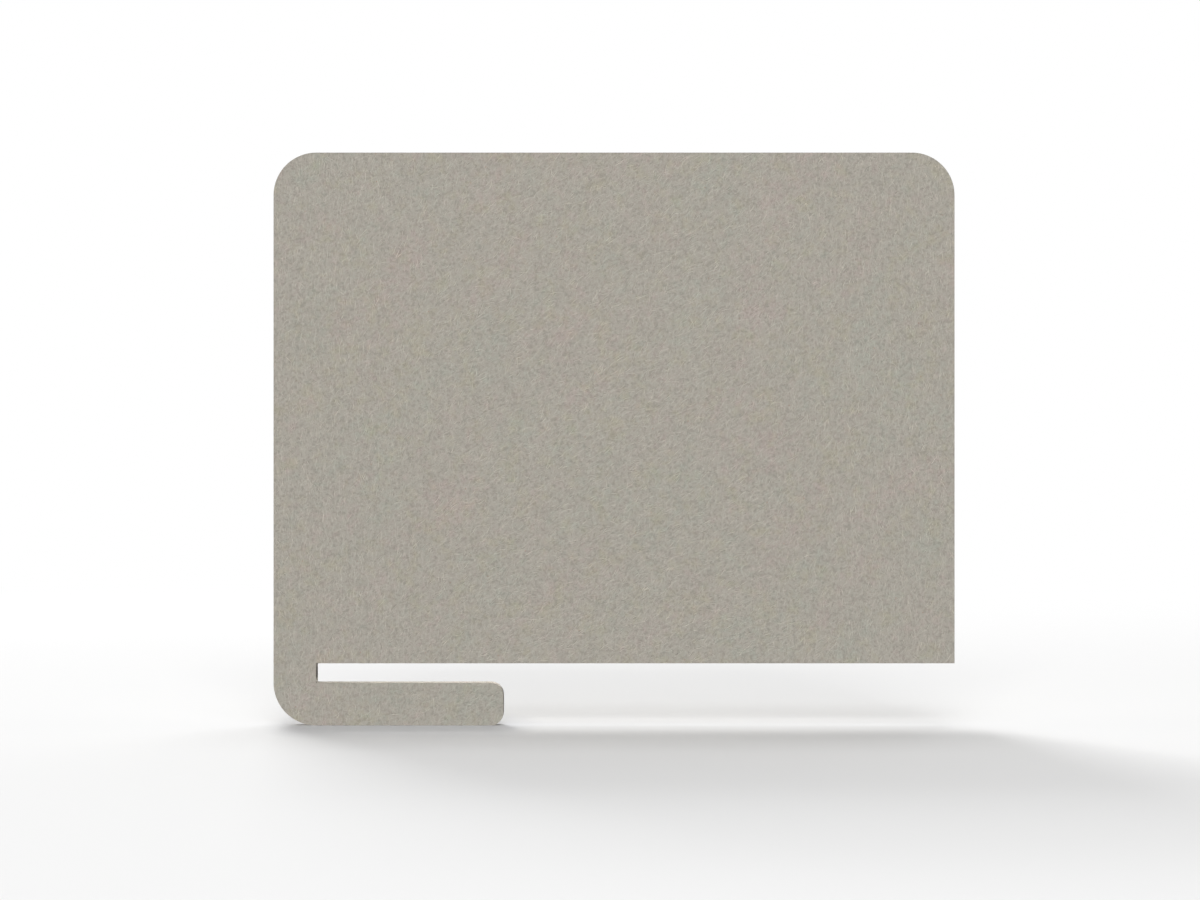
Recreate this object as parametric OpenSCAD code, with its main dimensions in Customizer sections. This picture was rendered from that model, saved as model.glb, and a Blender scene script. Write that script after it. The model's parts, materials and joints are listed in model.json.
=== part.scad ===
// Acoustic divider screen that hooks on to the edge of a desktop.
// Two felt faces are bonded over a stiff board, which lies in a felt frame, so that
// every cut edge is felt all through. All six layers follow one J-shaped outline.
// Origin: at the desk's edge (x = 0), on the desktop (z = 0), in mid-thickness (y = 0).
// +X runs along the panel to its right, +Z is up, and the front face looks to -Y.

/* [Panel] */
// Width of the panel, from its left edge to its right edge
panel_w = 800; // [600:10:1600]
// Height of the panel above the desktop
panel_h = 600; // [350:10:900]
// Radius of the panel's two top corners
top_corner_r = 50; // [20:1:150]

/* [Desk hook] */
// Width of the neck that passes the desk's edge
neck_w = 50; // [40:1:100]
// Length of the slot, from the desk's edge to the foot's end
slot_l = 220; // [120:5:400]
// Height of the slot, for a desktop about a millimetre thinner
slot_h = 23; // [16:0.5:45]
// Height of the foot that reaches under the desktop
foot_h = 50; // [40:1:90]
// Radius of the hook's outer corner, centred on the slot's lower corner
hook_corner_r = 50; // [20:1:60]
// Radius of the two corners at the foot's end
foot_end_r = 15; // [5:1:20]

/* [Layers] */
// Thickness of each felt face, as pressed
felt_t = 8.8; // [5:0.1:12]
// Thickness of each glue web
glue_t = 0.2; // [0.1:0.05:0.4]
// Thickness of the board and of the felt frame round it
core_t = 6; // [3:0.5:12]
// Width of the felt frame, from a cut edge to the board
frame_w = 12; // [8:0.5:15]
// Gap between the board and the felt frame
core_fit = 0.3; // [0.2:0.1:1]

/* [Hidden] */
$fn = 96;

// The outline, seen from the front
left_x = -neck_w;
right_x = panel_w - neck_w;
top_z = panel_h;
foot_top_z = -slot_h;
foot_low_z = foot_top_z - foot_h;
slot_mid_z = foot_top_z / 2;

// The corners of the hook, no rounder than the neck and the foot allow
hook_r = min(hook_corner_r, neck_w, foot_h);
foot_r = min(foot_end_r, foot_h / 2);

// The layers, from mid-thickness outwards
core_face_y = core_t / 2;
glue_face_y = core_face_y + glue_t;
felt_face_y = glue_face_y + felt_t;

// How far back from the cut edge the board's outline lies
board_inset = frame_w + core_fit;

// How far the space for the desktop is cut past the panel
overrun = 10;

// What comes off a square corner to round it. The corner lies at the origin and the
// plate fills the quarter that turns names: 0 for +X +Z, 1 for -X +Z, 2 for -X -Z and
// 3 for +X -Z.
module corner_waste(r, turns) {
    if (r > 0)
        rotate(90 * turns)
            difference() {
                square(r);
                translate([r, r]) circle(r);
            }
}

// The panel, with the neck down to the middle of the slot
module panel_outline(inset) {
    low_x = left_x + inset;
    high_x = right_x - inset;
    high_z = top_z - inset;
    r = top_corner_r - inset;
    difference() {
        translate([low_x, slot_mid_z]) square([high_x - low_x, high_z - slot_mid_z]);
        translate([low_x, high_z]) corner_waste(r, 3);
        translate([high_x, high_z]) corner_waste(r, 2);
    }
}

// The foot, with the neck up to the middle of the slot
module hook_outline(inset) {
    low_x = left_x + inset;
    high_x = slot_l - inset;
    low_z = foot_low_z + inset;
    difference() {
        translate([low_x, low_z]) square([high_x - low_x, slot_mid_z - low_z]);
        translate([low_x, low_z]) corner_waste(hook_r - inset, 0);
        translate([high_x, low_z]) corner_waste(foot_r - inset, 1);
        translate([high_x, foot_top_z - inset]) corner_waste(foot_r - inset, 2);
    }
}

// The space that the desktop takes: the slot, and on under the panel. Set back from
// the cut edge it grows, and turns round the slot's two corners.
module desktop_space(inset) {
    translate([0, foot_top_z - inset]) square([right_x + overrun, slot_h + 2 * inset]);
    if (inset > 0) {
        translate([-inset, foot_top_z]) square([inset, slot_h]);
        for (corner_z = [0, foot_top_z]) translate([0, corner_z]) circle(inset);
    }
}

// The J-shaped outline of the screen, set back all round by inset
module screen_outline(inset = 0) {
    difference() {
        union() {
            panel_outline(inset);
            hook_outline(inset);
        }
        desktop_space(inset);
    }
}

// Stands a flat outline up as a layer between two depths
module layer(front_y, rear_y) {
    translate([0, rear_y, 0]) rotate([90, 0, 0]) linear_extrude(rear_y - front_y) children();
}

// The felt face that looks to the front
module front_felt() {
    color([0.66, 0.64, 0.60]) layer(-felt_face_y, -glue_face_y) screen_outline();
}

// The felt face that looks to the rear
module rear_felt() {
    color([0.63, 0.61, 0.57]) layer(glue_face_y, felt_face_y) screen_outline();
}

// The middle felt layer, a band of even width along every cut edge
module felt_edge_frame() {
    color([0.60, 0.58, 0.54]) layer(-core_face_y, core_face_y)
        difference() {
            screen_outline();
            screen_outline(frame_w);
        }
}

// The stiff board inside the band, in one piece from the panel into the foot
module core_board() {
    color([0.55, 0.42, 0.30]) layer(-core_face_y, core_face_y) screen_outline(board_inset);
}

// The glue web between the front felt and the board with its band
module front_glue_web() {
    color([0.92, 0.91, 0.86]) layer(-glue_face_y, -core_face_y) screen_outline();
}

// The glue web between the rear felt and the board with its band
module rear_glue_web() {
    color([0.92, 0.91, 0.86]) layer(core_face_y, glue_face_y) screen_outline();
}

front_felt();
rear_felt();
felt_edge_frame();
core_board();
front_glue_web();
rear_glue_web();
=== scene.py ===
"""Looks of a felt desk divider: pressed felt faces, a cut felt edge, board and glue inside."""

import json
import math
import random

import bmesh
import bpy
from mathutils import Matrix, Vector, kdtree, noise
from mathutils.bvhtree import BVHTree


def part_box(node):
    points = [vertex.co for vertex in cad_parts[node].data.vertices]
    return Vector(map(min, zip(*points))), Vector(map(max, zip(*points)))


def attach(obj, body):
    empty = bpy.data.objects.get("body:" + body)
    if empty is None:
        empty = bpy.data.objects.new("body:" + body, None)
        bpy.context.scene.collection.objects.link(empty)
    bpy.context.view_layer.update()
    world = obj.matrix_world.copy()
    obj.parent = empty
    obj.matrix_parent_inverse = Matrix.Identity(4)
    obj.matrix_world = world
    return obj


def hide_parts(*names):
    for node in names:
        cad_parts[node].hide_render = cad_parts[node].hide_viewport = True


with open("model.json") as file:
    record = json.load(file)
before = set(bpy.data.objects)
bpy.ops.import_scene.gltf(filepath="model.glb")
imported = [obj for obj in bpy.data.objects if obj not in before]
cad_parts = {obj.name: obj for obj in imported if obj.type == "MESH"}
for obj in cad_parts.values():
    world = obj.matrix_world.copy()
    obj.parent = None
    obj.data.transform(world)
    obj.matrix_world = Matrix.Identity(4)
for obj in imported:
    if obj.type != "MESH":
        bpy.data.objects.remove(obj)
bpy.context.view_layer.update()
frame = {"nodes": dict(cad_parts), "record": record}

# Sizes of the screen, in metres

MM = 0.001
mounts = {mount["name"]: mount for mount in frame["record"]["mounts"]}
front_low, front_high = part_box("front_felt")
rear_low, rear_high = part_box("rear_felt")
band_low, band_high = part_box("felt_edge_frame")

PANEL_LEFT = front_low.x
PANEL_RIGHT = front_high.x
PANEL_TOP = front_high.z
FLOOR_Z = front_low.z
DESK_EDGE_X = 0.0
DESKTOP_Z = 0.0
FOOT_END_X = mounts["desk_slot"]["pos_m"][0]
FOOT_TOP_Z = mounts["foot_bearing_face"]["pos_m"][2]
BIG_CORNER_R = 50 * MM
FOOT_END_R = 15 * MM
BAND_WIDTH = 12 * MM

CORNER_STEPS = 20
FOOT_STEPS = 8
FACE_ARRIS = 0.45 * MM
PLY_ARRIS = 0.25 * MM
ARRIS_STEPS = 3
SAME_DEPTH = PLY_ARRIS / 10
WALL_NORMAL = 0.5

# The relief of a face. Each layer has its slant, its waves a metre along and across the
# fibres, and its weight

RELIEF_PITCH = 2.45 * MM
RELIEF_DEPTH = 0.16 * MM
RELIEF_FADE = 6 * MM
RELIEF_TOP = 0.5
RELIEF_LAYERS = (
    (math.radians(80), 60, 210, 0.5),
    (math.radians(38), 65, 190, 0.45),
    (math.radians(-40), 80, 230, 0.3),
)
LAYERS_APART = 7
RELIEF_OFFSETS = (1, 50)
WARP_WAVES = 55
WARP_REACH = 6 * MM
SWELL_WAVES = 24
SWELL_WEIGHT = 0.35

# Which way the fibres run: more of them upright at both ends of the panel, and more of them
# slanting round its middle, where the loose ones lie flatter low down than high up

LAY_MIDDLE = 0.34
LAY_NEAR = 0.13
LAY_FAR = 0.31
END_SLANT = math.radians(84)
LOW_SLANT = math.radians(24)
SLANT_GAIN = math.radians(30)

# The loose fibres on a face

FIBRE_COUNT = 6600
FIBRE_POINTS = 4
FEWEST_POINTS = 3
FIBRE_LENGTH = (4.5 * MM, 15 * MM)
FIBRE_RADIUS = (0.28 * MM, 0.46 * MM)
FIBRE_STRAY = math.radians(21)
FIBRE_CURL = math.radians(5)
FIBRE_WANDER = math.radians(7)
FIBRE_LIFT = 0.9
FIBRE_SINK = 0.5
FIBRE_TIP = 0.25
DROP_HEIGHT = 10 * MM
FLAT_NORMAL = 0.9


# Shapes


def corners(inset):
    """The outline's corners in order, each with its radius, 0 where the cut turns square. The
    whole outline is set back by inset, which rounds it about the slot's two corners."""
    left = PANEL_LEFT + inset
    right = PANEL_RIGHT - inset
    top = PANEL_TOP - inset
    neck = DESK_EDGE_X - inset
    foot_end = FOOT_END_X - inset
    foot_low = FLOOR_Z + inset
    return [
        (left, top, BIG_CORNER_R - inset),
        (right, top, BIG_CORNER_R - inset),
        (right, DESKTOP_Z + inset, 0),
        (neck, DESKTOP_Z + inset, inset),
        (neck, FOOT_TOP_Z - inset, inset),
        (foot_end, FOOT_TOP_Z - inset, FOOT_END_R - inset),
        (foot_end, foot_low, FOOT_END_R - inset),
        (left, foot_low, BIG_CORNER_R - inset),
    ]


def cut_sheet(sheet, y, inset=0):
    """Adds a flat face at depth y, cut to the screen's outline set back by inset."""
    outline = corners(inset)
    points = [sheet.verts.new((x, y, z)) for x, z, _ in outline]
    sheet.faces.new(points)
    for point, (_, _, radius) in zip(points, outline):
        if radius > 0:
            bmesh.ops.bevel(
                sheet,
                geom=[point],
                offset=radius,
                offset_type="OFFSET",
                segments=CORNER_STEPS if radius > FOOT_END_R else FOOT_STEPS,
                profile=0.5,
                affect="VERTICES",
                material=-1,
            )


def thicken(sheet, depth):
    """Extrudes the sheet's faces by depth along Y and closes the walls."""
    grown = bmesh.ops.extrude_face_region(sheet, geom=sheet.faces[:])
    moved = [part for part in grown["geom"] if isinstance(part, bmesh.types.BMVert)]
    bmesh.ops.translate(sheet, verts=moved, vec=(0, depth, 0))
    bmesh.ops.recalc_face_normals(sheet, faces=sheet.faces[:])


def at_depth(point, y):
    """Whether a point lies at depth y."""
    return abs(point.co.y - y) < SAME_DEPTH


def is_wall(face):
    """Whether a face belongs to the cut wall, and not to a flat side of the sheet."""
    return abs(face.normal.y) < WALL_NORMAL


def rim(sheet, y):
    """The edges where the cut wall meets the face at depth y."""
    return [
        edge
        for edge in sheet.edges
        if all(at_depth(point, y) for point in edge.verts)
        and any(is_wall(face) for face in edge.link_faces)
    ]


def soften(sheet, edges, width):
    """Rounds the given edges over by width."""
    bmesh.ops.bevel(
        sheet,
        geom=edges,
        offset=width,
        offset_type="OFFSET",
        segments=ARRIS_STEPS,
        profile=0.5,
        affect="EDGES",
        material=-1,
    )


def face_parts(sheet, y):
    """The faces at depth y, with their edges and points."""
    faces = [face for face in sheet.faces if all(at_depth(point, y) for point in face.verts)]
    edges = dict.fromkeys(edge for face in faces for edge in face.edges)
    points = dict.fromkeys(point for face in faces for point in face.verts)
    return [*faces, *edges, *points]


def grid_lines(low, high):
    """Places between low and high, about a relief pitch apart."""
    count = round((high - low) / RELIEF_PITCH)
    return [low + (high - low) * i / count for i in range(1, count)]


def divide_face(sheet, y):
    """Cuts the face at depth y into a fine grid."""
    rows = [DESKTOP_Z, FOOT_TOP_Z] + grid_lines(FLOOR_Z, PANEL_TOP)
    cuts = [((0, 0, z), (0, 0, 1)) for z in rows]
    cuts += [((x, 0, 0), (1, 0, 0)) for x in grid_lines(PANEL_LEFT, PANEL_RIGHT)]
    parts = face_parts(sheet, y)
    for place, normal in cuts:
        done = bmesh.ops.bisect_plane(
            sheet, geom=parts, dist=SAME_DEPTH, plane_co=place, plane_no=normal
        )
        parts = done["geom"]


def fibre_height(place, offset):
    """How far the matted fibres stand up at a place, from about -1 to 1, in a few slants."""
    warp = noise.noise_vector(place * WARP_WAVES + offset) * WARP_REACH
    moved = place + warp
    height = 0.0
    for slant, along, across, weight in RELIEF_LAYERS:
        u = moved.x * math.cos(slant) + moved.z * math.sin(slant)
        v = moved.z * math.cos(slant) - moved.x * math.sin(slant)
        layer = Vector((u * along, slant * LAYERS_APART, v * across))
        height += weight * noise.noise(layer + offset)
    return height + SWELL_WEIGHT * noise.noise(place * SWELL_WAVES - offset)


def raise_relief(sheet, y, outward, offset):
    """Moves the points of the face at depth y by the height of the fibres, less near the cut."""
    parts = face_parts(sheet, y)
    points = [part for part in parts if isinstance(part, bmesh.types.BMVert)]
    edge_points = [
        point
        for point in points
        if any(not at_depth(edge.other_vert(point), y) for edge in point.link_edges)
    ]
    tree = kdtree.KDTree(len(edge_points))
    for number, point in enumerate(edge_points):
        tree.insert(point.co, number)
    tree.balance()
    for point in points:
        _, _, distance = tree.find(point.co)
        fade = min(distance / RELIEF_FADE, 1)
        height = fibre_height(point.co, offset) - RELIEF_TOP
        point.co.y += outward * RELIEF_DEPTH * fade * height


def add_object(name, data):
    """Adds an object to the scene for a mesh, a curve, a lamp or a camera."""
    made = bpy.data.objects.new(name, data)
    bpy.context.scene.collection.objects.link(made)
    return made


def make_mesh(sheet, name, finishes):
    """Turns the sheet into a mesh with its finishes."""
    mesh = bpy.data.meshes.new(name)
    sheet.to_mesh(mesh)
    sheet.free()
    for finish in finishes:
        mesh.materials.append(finish)
    return mesh


def finish_piece(sheet, name, body, replaced, finishes, edge_test=None):
    """Turns the sheet into a piece that rides on its body and stands for a CAD node."""
    if edge_test:
        for face in sheet.faces:
            face.material_index = 1 if edge_test(face) else 0
    for face in sheet.faces:
        face.smooth = True
    piece = add_object(name, make_mesh(sheet, name, finishes))
    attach(piece, body)
    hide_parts(replaced)


# Finishes


class Recipe:
    """Builds the node tree of a material, or of the world, with short calls."""

    NODE_WIDTH = 180
    NODE_HEIGHT = 260
    NODES_IN_ROW = 12
    ROW_START = -2400

    def __init__(self, owner, output="ShaderNodeOutputMaterial"):
        self.owner = owner
        self.owner.use_nodes = True
        self.tree = self.owner.node_tree
        self.tree.nodes.clear()
        self.output = self.tree.nodes.new(output)
        self.count = 0

    def node(self, kind, inputs=None, **settings):
        """A node with its settings made, and its inputs set to numbers or joined to sockets."""
        made = self.tree.nodes.new(kind)
        self.count += 1
        row, column = divmod(self.count, self.NODES_IN_ROW)
        made.location = (self.ROW_START + self.NODE_WIDTH * column, -self.NODE_HEIGHT * row)
        for key, value in settings.items():
            setattr(made, key, value)
        for key, value in (inputs or {}).items():
            self.feed(made.inputs[key], value)
        return made

    def feed(self, socket, value):
        """Joins a socket to another, or sets it to a number."""
        if isinstance(value, bpy.types.NodeSocket):
            self.tree.links.new(value, socket)
        else:
            socket.default_value = value

    def surface(self, shader):
        """Makes a shader the surface of the material or of the world."""
        self.tree.links.new(shader.outputs[0], self.output.inputs["Surface"])

    def maths(self, operation, first, second=0.0, third=0.0):
        """One step of arithmetic."""
        inputs = {0: first, 1: second, 2: third}
        return self.node("ShaderNodeMath", inputs, operation=operation).outputs[0]

    def vector(self, operation, first, second=(0, 0, 0), scale=None):
        """One step of vector arithmetic."""
        inputs = {0: first, 1: second}
        if scale is not None:
            inputs["Scale"] = scale
        return self.node("ShaderNodeVectorMath", inputs, operation=operation).outputs[0]

    def length(self, first):
        """The length of a vector."""
        return self.node("ShaderNodeVectorMath", {0: first}, operation="LENGTH").outputs["Value"]

    def split(self, place):
        """The X, Y and Z of a vector."""
        return self.node("ShaderNodeSeparateXYZ", {0: place}).outputs

    def turned(self, place, angle):
        """A place turned about Y, the axis across the faces."""
        made = self.node(
            "ShaderNodeVectorRotate", {"Vector": place, "Angle": angle}, rotation_type="Y_AXIS"
        )
        return made.outputs[0]

    def ramp(self, value, low, high, to_low=0.0, to_high=1.0, smooth=True):
        """Maps a value from one range to another, clamped at both ends."""
        ranges = {"From Min": low, "From Max": high, "To Min": to_low, "To Max": to_high}
        made = self.node(
            "ShaderNodeMapRange",
            {"Value": value, **ranges},
            interpolation_type="SMOOTHSTEP" if smooth else "LINEAR",
        )
        return made.outputs["Result"]

    def noise(self, place, size, detail=2.0, roughness=0.5, colour=False):
        """Noise whose lumps are about size across, in the units of place."""
        made = self.node(
            "ShaderNodeTexNoise",
            {"Vector": place, "Scale": 1 / size, "Detail": detail, "Roughness": roughness},
        )
        return made.outputs["Color" if colour else "Fac"]

    def mix(self, share, first, second, blend="MIX"):
        """Mixes two colours."""
        inputs = {0: share, 6: first, 7: second}
        made = self.node("ShaderNodeMix", inputs, data_type="RGBA", blend_type=blend)
        return made.outputs[2]

    def bump(self, height, strength, distance):
        """The normal of a surface that rises by distance where the height grows by one."""
        inputs = {"Height": height, "Strength": strength, "Distance": distance}
        return self.node("ShaderNodeBump", inputs).outputs[0]

    def shader(self, colour, bump=None, **constants):
        """The surface itself, whose constants are set on its own sockets."""
        made = self.node("ShaderNodeBsdfPrincipled", {"Base Color": colour})
        for key, value in constants.items():
            made.inputs[key.replace("_", " ")].default_value = value
        if bump is not None:
            self.feed(made.inputs["Normal"], bump)
        self.surface(made)


def linear(level):
    """One channel of an sRGB colour, 0 to 255, taken through the sRGB curve."""
    share = level / 255
    return share / 12.92 if share <= 0.04045 else ((share + 0.055) / 1.055) ** 2.4


def colour(red, green, blue):
    """An sRGB colour of 0 to 255 as the linear colour that the shader takes."""
    return (linear(red), linear(green), linear(blue), 1)


# Sizes in a finish are in millimetres, as its patterns are. Those written with MM are in
# metres

FACE_COLOUR = colour(160.6, 155.8, 146.6)
EDGE_COLOUR = colour(158, 153, 144)
# How much paler the fibres that stand up are, and how much darker the hollows: painted highlight
# and painted shade
FIBRE_CONTRAST = 0.268
FIBRE_RISE = 0.22 * MM
FACE_HEIGHTS = (0.35, 3.55)
FACE_SHEEN = 0.05
EDGE_OFFSET = (311.0, 97.0, 53.0)
CUT_HEIGHTS = (0.1, 3.3)
CUT_SHEEN = 0.04

# Lays of fibres: angle in degrees, length, spacing, thickness, weight
UPRIGHT_LAYS = ((88, 24, 5.0, 0.95, 1.0), (99, 19, 4.2, 0.85, 0.9), (74, 19, 4.6, 0.80, 0.7))
SLANTING_LAYS = ((31, 24, 5.0, 0.95, 1.0), (50, 19, 4.2, 0.85, 0.9), (14, 19, 4.6, 0.80, 0.7))
CROSSING_LAY = (-40, 13, 5.2, 0.80, 0.6)
LAYS_APART = Vector((31.7, 0.0, 57.3))
FIBRE_LEAN = 0.30
FIBRE_BEND = 0.03
HALF_LENGTHS = (0.17, 0.40)
FAINTEST = 0.25

# Shares of both kinds of lay round the panel's middle and at its ends
UPRIGHT_SHARES = (0.54, 0.80)
SLANTING_SHARES = (0.84, 0.60)
DRIFT_SIZE = 110
DRIFT_REACH = 400 * MM

SWIRL_SIZE = 14
SWIRL_REACH = 4.5
GRAIN_SIZE = 3.3
GRAIN_WEIGHT = 1.6
HOLLOW_LEVELS = (0.36, 0.50)
HOLLOW_WEIGHT = 0.5
FINE_SIZE = 1.2
FINE_WEIGHT = 1.1

# Patches of dye: how far across, at which levels of their noise, and what they do to a colour
CLOUD_SIZE = 85
CLOUD_SLANT = math.radians(48)
CLOUD_STRETCH = (0.55, 1.0, 1.0)
SPOT_SIZE = 8
SPOT_WEIGHT = 0.7
BLOTCH_SIZE = 20
PINK_LEVELS = (0.50, 0.76)
PINK_DYE = (1.047, 0.978, 1.008)
GREEN_LEVELS = (0.50, 0.24)
GREEN_DYE = (0.960, 1.014, 1.006)
YELLOW_LEVELS = (0.47, 0.74)
YELLOW_DYE = (1.0, 1.0, 0.925, 1)
UNEVEN_SIZE = 30
UNEVEN_TONES = (0.985, 1.015)
FLECK_PITCH = 23
FLECK_LEVELS = (0.050, 0.020)
FLECK_SHARE = 0.35
FLECK_COLOUR = colour(150, 96, 78)

# The cut edge: its long and short lines, each with length and width, and its tones by place and
# facing, which paint shade on its sides, its underside and the slot's end, and a highlight on top
# of the foot
LONG_LINES = (15, 0.9)
SHORT_LINES = (7, 0.5)
LINES_APART = (17, 5, 71)
LINE_LEVEL = 0.09
LONG_LINE_WEIGHT = 0.8
TUFT_SIZE = 1.9
TUFT_WEIGHT = 2.2
CUT_SIDE_SHADE = 0.8
SLOT_END_SHADE = 0.36
CUT_TOP_TONE = 1.0
FOOT_TOP_HIGHLIGHT = 2.35
TURN_START = 0.2
TURN_END = 0.9
END_START = 10 * MM

LOOSE_PATCH = 9
LOOSE_TONES = (1.08, 1.45)
BOARD_GRAIN = 2.5
BOARD_COLOURS = (colour(104, 76, 53), colour(148, 114, 84))
BOARD_RISE = 0.1 * MM
GLUE_STRAND = 1.8
GLUE_COLOURS = (colour(118, 112, 100), colour(150, 145, 134))


def ridges(recipe, place, length, width, line):
    """Long curved fibres in a cut edge: pale lines along the middle level of a noise that is
    drawn out in the sheet's plane, so that they follow the ply."""
    drawn = recipe.vector("MULTIPLY", place, (1 / length, 1 / width, 1 / length))
    level = recipe.noise(drawn, 1, detail=1.5, roughness=0.6)
    away = recipe.maths("ABSOLUTE", recipe.maths("SUBTRACT", level, 0.5))
    return recipe.ramp(away, line, 0.0)


def laid_fibres(recipe, place, lay, offset):
    """Fibres that lie about one way on the face, one in each cell of a jittered net. Each
    leans, bends, ends and shows in its own measure."""
    angle, length, width, thickness, weight = lay
    turned = recipe.turned(place, math.radians(angle))
    spread = recipe.vector("MULTIPLY", turned, (1 / length, 0, 1 / width))
    parts = recipe.split(recipe.vector("ADD", spread, offset))
    net = recipe.node("ShaderNodeCombineXYZ", {0: parts["X"], 1: parts["Z"]}).outputs[0]
    cells = recipe.node(
        "ShaderNodeTexVoronoi", {"Vector": net, "Scale": 1.0}, voronoi_dimensions="2D"
    )
    sides = recipe.split(recipe.vector("SUBTRACT", net, cells.outputs["Position"]))
    along = recipe.maths("MULTIPLY", sides["X"], length)
    across = recipe.maths("MULTIPLY", sides["Y"], width)
    chance = recipe.node("ShaderNodeSeparateColor", {0: cells.outputs["Color"]}).outputs
    least, most = (share * length for share in HALF_LENGTHS)
    lean = recipe.ramp(chance["Red"], 0, 1, -FIBRE_LEAN, FIBRE_LEAN, smooth=False)
    bend = recipe.ramp(chance["Green"], 0, 1, -FIBRE_BEND, FIBRE_BEND, smooth=False)
    reach = recipe.ramp(chance["Blue"], 0, 1, least, most, smooth=False)
    shown = recipe.ramp(chance["Green"], 0, 1, FAINTEST, 1.0, smooth=False)
    leaning = recipe.maths("MULTIPLY_ADD", along, lean, across)
    bent = recipe.maths("MULTIPLY_ADD", recipe.maths("MULTIPLY", along, along), bend, leaning)
    beyond = recipe.maths("SUBTRACT", recipe.maths("ABSOLUTE", along), reach)
    past = recipe.maths("MAXIMUM", beyond, 0.0)
    distance = recipe.length(recipe.node("ShaderNodeCombineXYZ", {0: bent, 1: past}).outputs[0])
    body = recipe.ramp(distance, thickness, 0.0)
    return recipe.maths("MULTIPLY", recipe.maths("MULTIPLY", body, shown), weight)


def dyed(recipe, place, base, offset):
    """The felt's colour before its fibres: mostly even, with patches of pinker, greener and
    yellower dye, a faint unevenness of tone, and a rare coloured fleck."""
    shifted = recipe.vector("ADD", place, offset)
    drawn = recipe.vector("MULTIPLY", recipe.turned(shifted, CLOUD_SLANT), CLOUD_STRETCH)
    clouds = recipe.noise(drawn, CLOUD_SIZE, detail=7.0, roughness=0.76)
    spots = recipe.noise(shifted, SPOT_SIZE, detail=3.0, roughness=0.6)
    lowered = recipe.maths("SUBTRACT", clouds, SPOT_WEIGHT / 2)
    clouds = recipe.maths("MULTIPLY_ADD", spots, SPOT_WEIGHT, lowered)
    blotch = recipe.noise(shifted, BLOTCH_SIZE, detail=5.0, roughness=0.65)
    tint = base
    for levels, dye in ((PINK_LEVELS, PINK_DYE), (GREEN_LEVELS, GREEN_DYE)):
        dyed_base = [level * share for level, share in zip(base, dye)] + [1]
        tint = recipe.mix(recipe.ramp(clouds, *levels), tint, dyed_base)
    yellow = recipe.ramp(blotch, *YELLOW_LEVELS)
    tint = recipe.mix(yellow, tint, YELLOW_DYE, blend="MULTIPLY")
    uneven = recipe.noise(shifted, UNEVEN_SIZE, detail=4.0, roughness=0.6)
    tone = recipe.ramp(uneven, 0.2, 0.8, *UNEVEN_TONES, smooth=False)
    tint = recipe.vector("SCALE", tint, scale=tone)
    net = {"Vector": shifted, "Scale": 1 / FLECK_PITCH}
    cells = recipe.node("ShaderNodeTexVoronoi", net, feature="F1")
    fleck = recipe.ramp(cells.outputs["Distance"], *FLECK_LEVELS)
    return recipe.mix(recipe.maths("MULTIPLY", fleck, FLECK_SHARE), tint, FLECK_COLOUR)


def felt_surface(recipe, tint, raised, heights, sheen):
    """Joins colour and height: what stands up is paler, a painted highlight, and what lies deep is
    darker, painted shade. The sheen is that of the loose ends, which light up along a surface seen
    edge on."""
    tone = recipe.ramp(raised, *heights, 1 - FIBRE_CONTRAST, 1 + FIBRE_CONTRAST, smooth=False)
    recipe.shader(
        recipe.vector("SCALE", tint, scale=tone),
        bump=recipe.bump(raised, strength=0.5, distance=FIBRE_RISE),
        Roughness=0.93,
        Specular_IOR_Level=0.12,
        Sheen_Weight=sheen,
        Sheen_Roughness=0.55,
    )


def start_finish(name):
    """An empty material, with each point's place on the piece in metres and millimetres."""
    recipe = Recipe(bpy.data.materials.new(name))
    place = recipe.node("ShaderNodeTexCoord").outputs["Object"]
    return recipe, place, recipe.vector("SCALE", place, scale=1 / MM)


def pressed_felt(name, base):
    """The felt's face: short matted fibres over a grain, with hollows between them that painted
    shade and the bump make dark.
    """
    recipe, place, millimetres = start_finish(name)
    swirl = recipe.noise(millimetres, SWIRL_SIZE, detail=1.0, colour=True)
    swirl = recipe.vector("SUBTRACT", swirl, (0.5, 0.5, 0.5))
    curled = recipe.vector("ADD", millimetres, recipe.vector("SCALE", swirl, scale=SWIRL_REACH))

    # How far a place is from the panel's middle, with an uneven border
    aside = recipe.maths("SUBTRACT", recipe.split(place)["X"], LAY_MIDDLE)
    from_middle = recipe.maths("SUBTRACT", recipe.maths("ABSOLUTE", aside), DRIFT_REACH / 2)
    drift = recipe.noise(millimetres, DRIFT_SIZE, detail=2.0)
    reach = recipe.maths("MULTIPLY_ADD", drift, DRIFT_REACH, from_middle)
    upright = recipe.ramp(reach, LAY_NEAR, LAY_FAR, *UPRIGHT_SHARES)
    slanting = recipe.ramp(reach, LAY_NEAR, LAY_FAR, *SLANTING_SHARES)

    rows = [(lay, upright) for lay in UPRIGHT_LAYS]
    rows += [(lay, slanting) for lay in SLANTING_LAYS]
    rows += [(CROSSING_LAY, 1.0)]
    raised = 0.0
    for number, (lay, share) in enumerate(rows):
        layer = laid_fibres(recipe, curled, lay, LAYS_APART * number)
        raised = recipe.maths("MULTIPLY_ADD", layer, share, raised)
    grain = recipe.noise(curled, GRAIN_SIZE, detail=2.0, roughness=0.55)
    hollow = recipe.ramp(grain, *HOLLOW_LEVELS, -1.0, 0.0)
    fine = recipe.noise(millimetres, FINE_SIZE, detail=1.0)
    raised = recipe.maths("MULTIPLY_ADD", grain, GRAIN_WEIGHT, raised)
    raised = recipe.maths("MULTIPLY_ADD", hollow, HOLLOW_WEIGHT, raised)
    raised = recipe.maths("MULTIPLY_ADD", fine, FINE_WEIGHT, raised)
    tint = dyed(recipe, millimetres, base, (0.0, 0.0, 0.0))
    felt_surface(recipe, tint, raised, FACE_HEIGHTS, FACE_SHEEN)
    return recipe.owner


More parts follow.
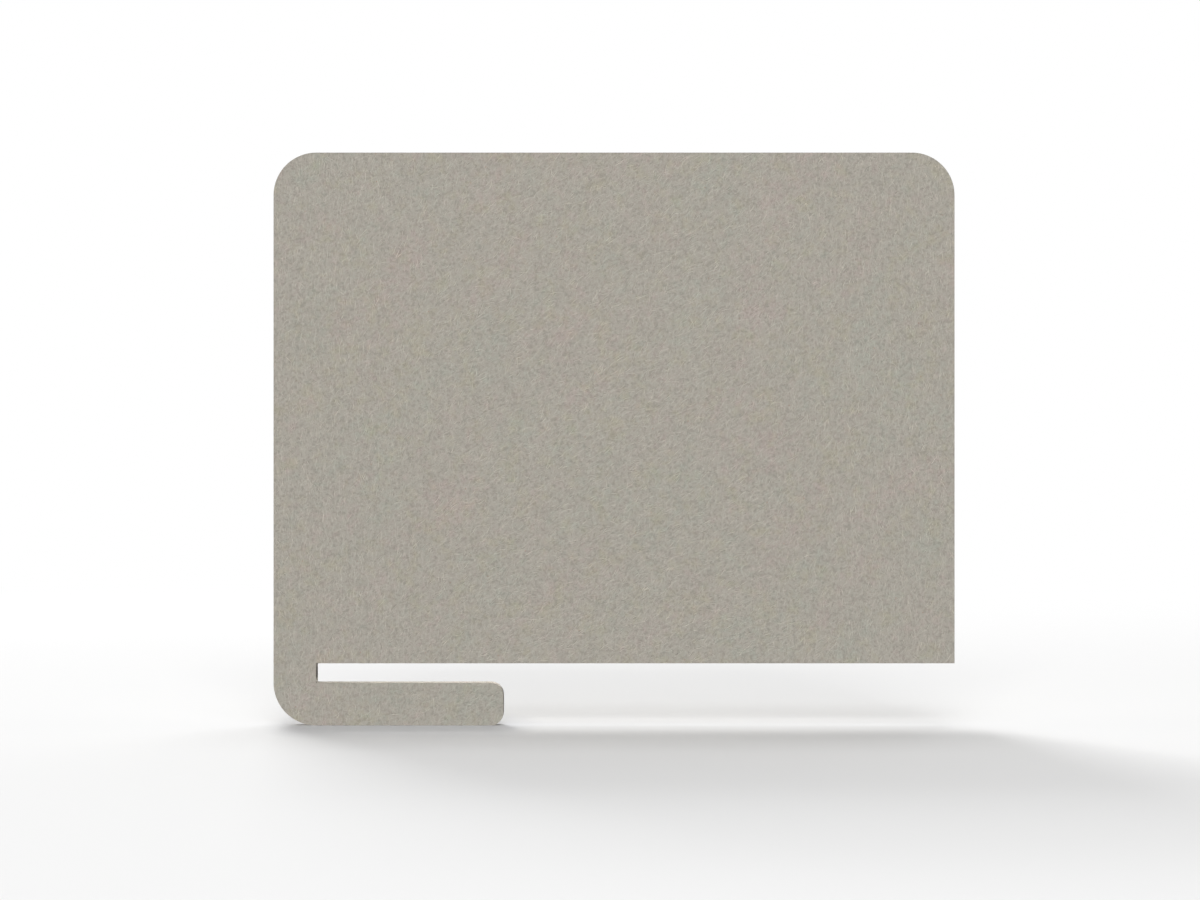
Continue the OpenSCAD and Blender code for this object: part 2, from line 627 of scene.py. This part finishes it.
def cut_felt(name, base, offset):
    """The felt's cut edge: fibres in fine lines along the ply, a little crushed by the knife.
    Light and shade are painted into its colour: it is darker where it faces sideways or down,
    darkest at the slot's end and the foot's end, and pale on top of the foot."""
    recipe, place, millimetres = start_finish(name)
    shifted = recipe.vector("ADD", millimetres, offset)
    long_lines = ridges(recipe, shifted, *LONG_LINES, LINE_LEVEL)
    elsewhere = recipe.vector("ADD", shifted, LINES_APART)
    short_lines = ridges(recipe, elsewhere, *SHORT_LINES, LINE_LEVEL)
    tufts = recipe.noise(shifted, TUFT_SIZE, detail=2.5, roughness=0.6)
    raised = recipe.maths("MULTIPLY_ADD", long_lines, LONG_LINE_WEIGHT, short_lines)
    raised = recipe.maths("MULTIPLY_ADD", tufts, TUFT_WEIGHT, raised)
    tint = dyed(recipe, millimetres, base, offset)

    # The tone goes by which way the edge faces, and by where it lies along the screen: a painted
    # highlight on top of the foot, and painted shade on its sides and underside, deepest at the
    # slot's end and the foot's end
    facing = recipe.node("ShaderNodeTexCoord").outputs["Normal"]
    upward = recipe.split(facing)["Z"]
    parts = recipe.split(place)
    top_highlight = recipe.ramp(parts["Z"], FOOT_TOP_Z / 2, FOOT_TOP_Z, CUT_TOP_TONE, FOOT_TOP_HIGHLIGHT)
    foot_middle = (DESK_EDGE_X + FOOT_END_X) / 2
    aside = recipe.maths("ABSOLUTE", recipe.maths("SUBTRACT", parts["X"], foot_middle))
    past = recipe.maths("SUBTRACT", aside, FOOT_END_X - foot_middle)
    end_shade = recipe.ramp(past, END_START, BIG_CORNER_R, SLOT_END_SHADE, CUT_SIDE_SHADE)
    side_shade = recipe.ramp(upward, -TURN_END, -TURN_START, CUT_SIDE_SHADE, end_shade)
    tone = recipe.ramp(upward, TURN_START, TURN_END, side_shade, top_highlight)
    tint = recipe.vector("SCALE", tint, scale=tone)
    felt_surface(recipe, tint, raised, CUT_HEIGHTS, CUT_SHEEN)
    return recipe.owner


def loose_fibre(name, base):
    """Single fibres on top of the felt: a little paler than what they lie on, each its own."""
    recipe, _, millimetres = start_finish(name)
    tint = dyed(recipe, millimetres, base, (0.0, 0.0, 0.0))
    own = recipe.noise(millimetres, LOOSE_PATCH, detail=1.0)
    tone = recipe.ramp(own, 0.3, 0.7, *LOOSE_TONES)
    recipe.shader(
        recipe.vector("SCALE", tint, scale=tone),
        Roughness=0.85,
        Specular_IOR_Level=0.25,
        Sheen_Weight=0.1,
        Sheen_Roughness=0.5,
    )
    return recipe.owner


def board(name):
    """Dense wood fibre board: brown, with short pressed fibres."""
    recipe, _, millimetres = start_finish(name)
    grain = recipe.noise(millimetres, BOARD_GRAIN, detail=4.0, roughness=0.6)
    tint = recipe.mix(recipe.ramp(grain, 0.3, 0.7), *BOARD_COLOURS)
    bump = recipe.bump(grain, strength=0.3, distance=BOARD_RISE)
    recipe.shader(tint, bump=bump, Roughness=0.7, Specular_IOR_Level=0.3)
    return recipe.owner


def glue(name):
    """Hot-melt web, seen only as a hairline in the cut edge."""
    recipe, _, millimetres = start_finish(name)
    strands = recipe.noise(millimetres, GLUE_STRAND, detail=3.0, roughness=0.6)
    tint = recipe.mix(recipe.ramp(strands, 0.35, 0.65), *GLUE_COLOURS)
    recipe.shader(tint, Roughness=0.45, Specular_IOR_Level=0.4)
    return recipe.owner


face_felt = pressed_felt("pressed_felt", FACE_COLOUR)
edge_felt = cut_felt("cut_felt_edge", EDGE_COLOUR, EDGE_OFFSET)
fibre_finish = loose_fibre("loose_fibre", FACE_COLOUR)
core_finish = board("fibre_board")
glue_finish = glue("hot_melt_web")


# Pieces


def lay_angle(x, z):
    """The angle at which fibres mostly run at a place of the face, seen from the front."""
    share = (abs(x - LAY_MIDDLE) - LAY_NEAR) / (LAY_FAR - LAY_NEAR)
    upright = min(max(share, 0.0), 1.0)
    slant = LOW_SLANT + SLANT_GAIN * max(z, 0.0) / PANEL_TOP
    return slant + (END_SLANT - slant) * upright


def lay_fibre(draw, surface, face_y, outward):
    """The route of one loose fibre on the felt: it follows the lay, curls a little and ends
    where its length does, or at the cut."""
    x = draw.uniform(PANEL_LEFT, PANEL_RIGHT)
    z = draw.uniform(FLOOR_Z, PANEL_TOP)
    heading = lay_angle(x, z) + draw.gauss(0, FIBRE_STRAY)
    curl = draw.gauss(0, FIBRE_CURL)
    step = draw.uniform(*FIBRE_LENGTH) / (FIBRE_POINTS - 1)
    route = []
    for _ in range(FIBRE_POINTS):
        start = Vector((x, face_y + outward * DROP_HEIGHT, z))
        place, normal, _, _ = surface.ray_cast(start, Vector((0, -outward, 0)))
        if place is None or abs(normal.y) < FLAT_NORMAL:
            break
        route.append(place)
        x += step * math.cos(heading)
        z += step * math.sin(heading)
        heading += curl + draw.gauss(0, FIBRE_WANDER)
    return route


def loose_fibres(name, surface, face_y, outward, seed):
    """A few thousand single fibres that lie loose on one face, as tubes that thin out and dip
    into the felt at both ends."""
    draw = random.Random(seed)
    curve = bpy.data.curves.new(name, "CURVE")
    curve.dimensions = "3D"
    curve.bevel_depth = 1.0
    curve.bevel_resolution = 0
    curve.use_fill_caps = True
    for _ in range(FIBRE_COUNT):
        route = lay_fibre(draw, surface, face_y, outward)
        thickness = draw.uniform(*FIBRE_RADIUS)
        if len(route) < FEWEST_POINTS:
            continue
        spline = curve.splines.new("POLY")
        spline.points.add(len(route) - 1)
        for number, place in enumerate(route):
            # Both end points count as about a third of a step in from the fibre's tips
            swell = math.sin(math.pi * (number + 0.35) / (len(route) - 0.3))
            rise = outward * thickness * (FIBRE_LIFT * swell - FIBRE_SINK)
            spline.points[number].co = (place.x, place.y + rise, place.z, 1)
            spline.points[number].radius = thickness * (FIBRE_TIP + (1 - FIBRE_TIP) * swell)
    holder = add_object(name + "_route", curve)
    bpy.context.view_layer.update()
    seen = holder.evaluated_get(bpy.context.evaluated_depsgraph_get())
    mesh = bpy.data.meshes.new_from_object(seen)
    bpy.data.objects.remove(holder)
    mesh.name = name
    for face in mesh.polygons:
        face.use_smooth = True
    mesh.materials.clear()
    mesh.materials.append(fibre_finish)
    piece = add_object(name, mesh)
    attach(piece, "root")


def felt_face(name, replaced, face_y, inner_y, seed):
    """One felt face: soft at its outer edge, crisp at the glue, uneven over its surface, with
    loose fibres on it."""
    # Blender's noise vectors go by the clock unless they are given a seed
    noise.seed_set(seed)
    draw = random.Random(seed)
    offset = Vector([draw.uniform(*RELIEF_OFFSETS) for _ in range(3)])
    outward = math.copysign(1, face_y)
    sheet = bmesh.new()
    cut_sheet(sheet, face_y)
    thicken(sheet, inner_y - face_y)
    soften(sheet, rim(sheet, face_y), FACE_ARRIS)
    soften(sheet, rim(sheet, inner_y), PLY_ARRIS)
    divide_face(sheet, face_y)
    raise_relief(sheet, face_y, outward, offset)
    surface = BVHTree.FromBMesh(sheet)
    loose_fibres(name + "_fibres", surface, face_y, outward, seed)
    finishes = [face_felt, edge_felt]
    finish_piece(sheet, name, "root", replaced, finishes, edge_test=is_wall)


def edge_band():
    """The middle felt layer, a band of even width along the cut edge."""
    sheet = bmesh.new()
    cut_sheet(sheet, band_low.y)
    cut_sheet(sheet, band_low.y, BAND_WIDTH)
    bmesh.ops.delete(sheet, geom=sheet.faces[:], context="FACES_ONLY")
    bmesh.ops.triangle_fill(sheet, use_beauty=True, edges=sheet.edges[:])
    thicken(sheet, band_high.y - band_low.y)
    soften(sheet, rim(sheet, band_low.y) + rim(sheet, band_high.y), PLY_ARRIS)
    finish_piece(sheet, "edge_band", "root", "felt_edge_frame", [edge_felt])


felt_face("front_felt_face", "front_felt", front_low.y, front_high.y, seed=7)
felt_face("rear_felt_face", "rear_felt", rear_high.y, rear_low.y, seed=19)
edge_band()

for node, finish in (
    ("core_board", core_finish),
    ("front_glue_web", glue_finish),
    ("rear_glue_web", glue_finish),
):
    mesh = frame["nodes"][node].data
    mesh.materials.clear()
    mesh.materials.append(finish)


# Stage

WHITE = (1, 1, 1, 1)
FLOOR_REACH = 30.0
FLOOR_GAP = 0.1 * MM
# The floor's colour, and the colour and reach of the painted shade round the foot
FLOOR_TONE = (0.80, 0.80, 0.80, 1)
FLOOR_SHADE = (0.658, 0.663, 0.681, 1)
SHADE_REACH = 0.16
SIDEWAYS_WEIGHT = 2.5
FADE_START = 1.3
FADE_END = 3.6
ROOM_SIDES = 0.03
ROOM_FRONT = 0.46
ROOM_BACK = 0.87
ROOM_BELOW = 1.45
ROOM_WALL_Z = math.sin(math.radians(65))
ROOM_TOP_Z = math.sin(math.radians(76))
ROOM_SEAM = 0.05
LIT_X = 0.35
SOFTBOX_DISTANCE = 14.0
WATTS_PER_RADIANCE = 4.0

# Azimuth and elevation in degrees, width and height in metres, radiance
SOFTBOXES = (
    ("back_low_softbox", -17, 28, 4.7, 2.35, 9.5),
    ("back_high_softbox", -17, 38, 4.7, 4.7, 7.6),
    ("front_softbox", 180, 32, 6.2, 4.7, 6.2),
    ("overhead_back_softbox", 0, 75, 6.2, 4.7, 3.9),
    ("overhead_front_softbox", 180, 75, 6.2, 4.7, 3.2),
)


def floor():
    """A pale floor that keeps the screen's shadow, runs out into white behind it, and can be
    looked through from below. Round the foot it has painted shade: its colour is a little darker
    there. It lets the room's light through to the screen, so that the shadow on it doesn't darken
    the felt."""
    recipe = Recipe(bpy.data.materials.new("studio_floor"))
    place = recipe.node("ShaderNodeTexCoord").outputs["Object"]
    parts = recipe.split(place)

    # How far a place lies from the foot's flat underside, with more weight sideways, for the
    # painted shade round the foot
    flat_left = PANEL_LEFT + BIG_CORNER_R
    flat_right = FOOT_END_X - FOOT_END_R
    flat_middle = (flat_left + flat_right) / 2
    aside = recipe.maths("ABSOLUTE", recipe.maths("SUBTRACT", parts["X"], flat_middle))
    aside = recipe.maths("SUBTRACT", aside, flat_right - flat_middle)
    aside = recipe.maths("MAXIMUM", recipe.maths("MULTIPLY", aside, SIDEWAYS_WEIGHT), 0.0)
    ahead = recipe.maths("SUBTRACT", recipe.maths("ABSOLUTE", parts["Y"]), rear_high.y)
    ahead = recipe.maths("MAXIMUM", ahead, 0.0)
    outwards = recipe.node("ShaderNodeCombineXYZ", {0: aside, 1: ahead})
    gap = recipe.length(outwards.outputs[0])

    # Painted shade: the floor's colour darkens towards the foot
    tint = recipe.mix(recipe.ramp(gap, 0.0, SHADE_REACH, smooth=False), FLOOR_SHADE, FLOOR_TONE)
    paper = recipe.node("ShaderNodeBsdfDiffuse", {"Color": tint})
    glow = recipe.node("ShaderNodeEmission", {"Color": WHITE, "Strength": 1.0})
    clear = recipe.node("ShaderNodeBsdfTransparent")
    path = recipe.node("ShaderNodeLightPath")
    far = recipe.ramp(recipe.length(place), FADE_START, FADE_END)
    white = recipe.maths("MULTIPLY", far, path.outputs["Is Camera Ray"])
    above = recipe.node("ShaderNodeMixShader", {0: white, 1: paper.outputs[0], 2: glow.outputs[0]})
    side = recipe.node("ShaderNodeNewGeometry").outputs["Backfacing"]
    through = recipe.maths("MAXIMUM", path.outputs["Is Diffuse Ray"], side)
    layers = {0: through, 1: above.outputs[0], 2: clear.outputs[0]}
    recipe.surface(recipe.node("ShaderNodeMixShader", layers))

    sheet = bmesh.new()
    bmesh.ops.create_grid(sheet, x_segments=1, y_segments=1, size=FLOOR_REACH)
    bmesh.ops.translate(sheet, verts=sheet.verts[:], vec=(0, 0, FLOOR_Z - FLOOR_GAP))
    piece = add_object("studio_floor", make_mesh(sheet, "studio_floor", [recipe.owner]))


def room_light():
    """A dim room, darker at the sides, in front and overhead, with the light of a pale floor
    from below, and clean white to the camera."""
    recipe = Recipe(bpy.data.worlds.new("studio_room"), "ShaderNodeOutputWorld")
    bpy.context.scene.world = recipe.owner
    parts = recipe.split(recipe.node("ShaderNodeTexCoord").outputs["Generated"])
    sideways = recipe.maths("MULTIPLY", parts["X"], parts["X"])
    forwards = recipe.maths("MULTIPLY", parts["Y"], parts["Y"])
    share = recipe.maths("DIVIDE", forwards, recipe.maths("ADD", sideways, forwards))
    ends = recipe.ramp(parts["Y"], -ROOM_SEAM, ROOM_SEAM, ROOM_FRONT, ROOM_BACK)
    over_sides = recipe.maths("SUBTRACT", ends, ROOM_SIDES)
    turned = recipe.ramp(share, 0.15, 0.85)
    around = recipe.maths("MULTIPLY_ADD", turned, over_sides, ROOM_SIDES)
    overhead = recipe.ramp(parts["Z"], ROOM_TOP_Z, ROOM_WALL_Z)
    around = recipe.maths("MULTIPLY", around, overhead)
    height = recipe.ramp(parts["Z"], -ROOM_SEAM, ROOM_SEAM)
    over_below = recipe.maths("SUBTRACT", around, ROOM_BELOW)
    level = recipe.maths("ADD", recipe.maths("MULTIPLY", over_below, height), ROOM_BELOW)
    lit = recipe.node("ShaderNodeBackground", {"Color": WHITE, "Strength": level})
    white = recipe.node("ShaderNodeBackground", {"Color": WHITE, "Strength": 1.0})
    path = recipe.node("ShaderNodeLightPath").outputs
    seen = recipe.maths("MAXIMUM", path["Is Glossy Ray"], path["Is Transmission Ray"])
    seen = recipe.maths("MAXIMUM", path["Is Camera Ray"], seen)
    layers = {0: seen, 1: lit.outputs[0], 2: white.outputs[0]}
    recipe.surface(recipe.node("ShaderNodeMixShader", layers))


def softbox(name, azimuth, elevation, width, height, radiance):
    """A rectangular soft light aimed at the floor under the panel. The azimuth is measured
    from behind the panel towards its right end."""
    target = Vector((LIT_X, 0, FLOOR_Z))
    level = math.cos(elevation)
    way = Vector((math.sin(azimuth) * level, math.cos(azimuth) * level, math.sin(elevation)))
    lamp = bpy.data.lights.new(name, "AREA")
    lamp.shape = "RECTANGLE"
    lamp.size = width
    lamp.size_y = height
    lamp.energy = WATTS_PER_RADIANCE * width * height * radiance
    holder = add_object(name, lamp)
    holder.location = target + way * SOFTBOX_DISTANCE
    holder.rotation_euler = (-way).to_track_quat("-Z", "Y").to_euler()
    holder.visible_camera = False


floor()
room_light()
for name, azimuth, elevation, width, height, radiance in SOFTBOXES:
    softbox(name, math.radians(azimuth), math.radians(elevation), width, height, radiance)


# Camera: level, straight on to the front face, placed from the photograph

PHOTO_WIDTH_PX = 1200
PHOTO_MIDDLE_PX = (600, 450)
PANEL_LEFT_PX = 273.52
PANEL_TOP_PX = 152.53
MM_PER_PX = 1.1746
CAMERA_TO_FACE = 3.56
SENSOR_WIDTH = 36.0

camera_data = bpy.data.cameras.new("camera")
camera_data.sensor_width = SENSOR_WIDTH
face_width = PHOTO_WIDTH_PX * MM_PER_PX * MM
camera_data.lens = SENSOR_WIDTH * CAMERA_TO_FACE / face_width
camera = add_object("camera", camera_data)
camera.location = (
    PANEL_LEFT + (PHOTO_MIDDLE_PX[0] - PANEL_LEFT_PX) * MM_PER_PX * MM,
    front_low.y - CAMERA_TO_FACE,
    PANEL_TOP - (PHOTO_MIDDLE_PX[1] - PANEL_TOP_PX) * MM_PER_PX * MM,
)
camera.rotation_euler = (math.radians(90), 0, 0)
bpy.context.scene.camera = camera
bpy.context.scene.view_settings.view_transform = "Standard"
